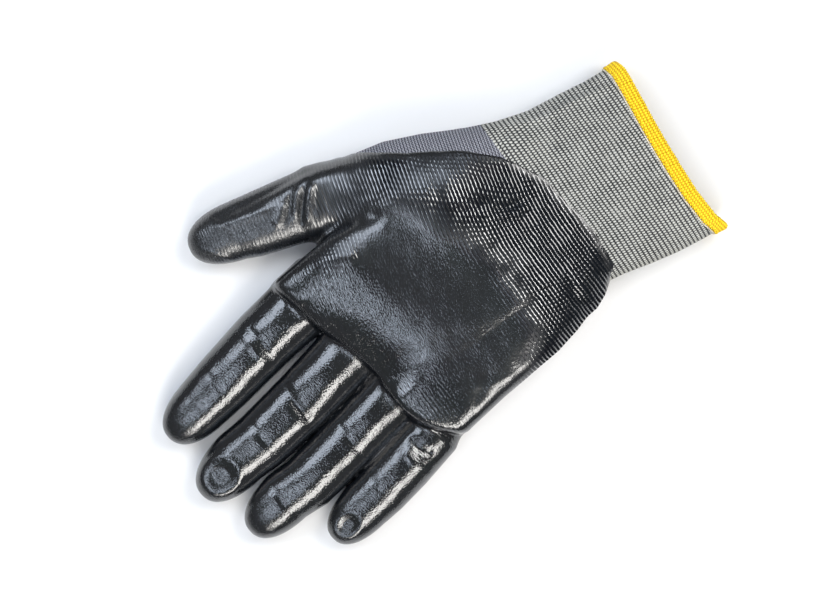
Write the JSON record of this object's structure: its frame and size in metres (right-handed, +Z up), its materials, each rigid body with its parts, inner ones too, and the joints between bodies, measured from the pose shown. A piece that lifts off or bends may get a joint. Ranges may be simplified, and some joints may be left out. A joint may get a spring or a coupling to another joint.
{
  "type": "work glove",
  "caption": "Knitted work glove for the right hand with a dipped coating on palm and fingers, elastic knitted cuff and overlocked hem; digits and wrist bend.",
  "frame": {"origin": "bottom centre of the glove's box, on the surface that its back lies on", "axes": "+X from the cuff towards the fingertips, +Y towards the little finger, +Z up out of the palm"},
  "size_m": [0.2542, 0.1546, 0.0346],
  "materials": {
    "nitrile_coating": "semi-gloss",
    "grey_knit": "matte",
    "cuff_knit": "matte",
    "elastic_yarn": "matte",
    "hem_yarn": "matte"
  },
  "bodies": {
    "hand": {"hand_liner": "grey_knit", "palm_coating": "nitrile_coating"},
    "cuff": {"cuff_knit": "cuff_knit", "cuff_elastic_yarns": "elastic_yarn", "hem_overlock": "hem_yarn"},
    "index_proximal": {"index_proximal_liner": "grey_knit", "index_proximal_coating": "nitrile_coating"},
    "index_middle": {"index_middle_liner": "grey_knit", "index_middle_coating": "nitrile_coating"},
    "index_distal": {"index_distal_liner": "grey_knit", "index_distal_coating": "nitrile_coating"},
    "middle_proximal": {"middle_proximal_liner": "grey_knit", "middle_proximal_coating": "nitrile_coating"},
    "middle_middle": {"middle_middle_liner": "grey_knit", "middle_middle_coating": "nitrile_coating"},
    "middle_distal": {"middle_distal_liner": "grey_knit", "middle_distal_coating": "nitrile_coating"},
    "ring_proximal": {"ring_proximal_liner": "grey_knit", "ring_proximal_coating": "nitrile_coating"},
    "ring_middle": {"ring_middle_liner": "grey_knit", "ring_middle_coating": "nitrile_coating"},
    "ring_distal": {"ring_distal_liner": "grey_knit", "ring_distal_coating": "nitrile_coating"},
    "little_proximal": {"little_proximal_liner": "grey_knit", "little_proximal_coating": "nitrile_coating"},
    "little_middle": {"little_middle_liner": "grey_knit", "little_middle_coating": "nitrile_coating"},
    "little_distal": {"little_distal_liner": "grey_knit", "little_distal_coating": "nitrile_coating"},
    "thumb_proximal": {"thumb_proximal_liner": "grey_knit", "thumb_proximal_coating": "nitrile_coating"},
    "thumb_distal": {"thumb_distal_liner": "grey_knit", "thumb_distal_coating": "nitrile_coating"}
  },
  "joints": [
    {"name": "wrist", "type": "hinge", "parent": "hand", "child": "cuff", "pos_m": [-0.06964, 0.01131, 0.015], "axis": [0, 1, 0], "range_deg": [-30, 50]},
    {"name": "index_mcp", "type": "hinge", "parent": "hand", "child": "index_proximal", "pos_m": [0.03986, -0.0198, 0.01251], "axis": [0.1426, -0.9898, 0], "range_deg": [0, 70]},
    {"name": "index_pip", "type": "hinge", "parent": "index_proximal", "child": "index_middle", "pos_m": [0.06659, -0.01594, 0.01251], "axis": [0.1426, -0.9898, 0], "range_deg": [0, 80]},
    {"name": "index_dip", "type": "hinge", "parent": "index_middle", "child": "index_distal", "pos_m": [0.09133, -0.01238, 0.01251], "axis": [0.1426, -0.9898, 0], "range_deg": [0, 40]},
    {"name": "middle_mcp", "type": "hinge", "parent": "hand", "child": "middle_proximal", "pos_m": [0.03576, 0.0084, 0.01223], "axis": [0.1357, -0.9907, 0], "range_deg": [0, 70]},
    {"name": "middle_pip", "type": "hinge", "parent": "middle_proximal", "child": "middle_middle", "pos_m": [0.06648, 0.01261, 0.01223], "axis": [0.1357, -0.9907, 0], "range_deg": [0, 80]},
    {"name": "middle_dip", "type": "hinge", "parent": "middle_middle", "child": "middle_distal", "pos_m": [0.09174, 0.01607, 0.01223], "axis": [0.1357, -0.9907, 0], "range_deg": [0, 40]},
    {"name": "ring_mcp", "type": "hinge", "parent": "hand", "child": "ring_proximal", "pos_m": [0.03216, 0.03501, 0.01063], "axis": [0.1253, -0.9921, 0], "range_deg": [0, 70]},
    {"name": "ring_pip", "type": "hinge", "parent": "ring_proximal", "child": "ring_middle", "pos_m": [0.06292, 0.03889, 0.01063], "axis": [0.1253, -0.9921, 0], "range_deg": [0, 80]},
    {"name": "ring_dip", "type": "hinge", "parent": "ring_middle", "child": "ring_distal", "pos_m": [0.08772, 0.04202, 0.01063], "axis": [0.1253, -0.9921, 0], "range_deg": [0, 40]},
    {"name": "little_mcp", "type": "hinge", "parent": "hand", "child": "little_proximal", "pos_m": [0.02856, 0.0584, 0.01007], "axis": [0.1599, -0.9871, 0], "range_deg": [0, 70]},
    {"name": "little_pip", "type": "hinge", "parent": "little_proximal", "child": "little_middle", "pos_m": [0.05324, 0.0624, 0.01007], "axis": [0.1599, -0.9871, 0], "range_deg": [0, 80]},
    {"name": "little_dip", "type": "hinge", "parent": "little_middle", "child": "little_distal", "pos_m": [0.072, 0.06544, 0.01007], "axis": [0.1599, -0.9871, 0], "range_deg": [0, 40]},
    {"name": "thumb_mcp", "type": "hinge", "parent": "hand", "child": "thumb_proximal", "pos_m": [0.00936, -0.05239, 0.01308], "axis": [-0.2747, -0.8986, 0.342], "range_deg": [0, 38]},
    {"name": "thumb_ip", "type": "hinge", "parent": "thumb_proximal", "child": "thumb_distal", "pos_m": [0.03518, -0.06029, 0.01308], "axis": [-0.2747, -0.8986, 0.342], "range_deg": [0, 50]}
  ]
}
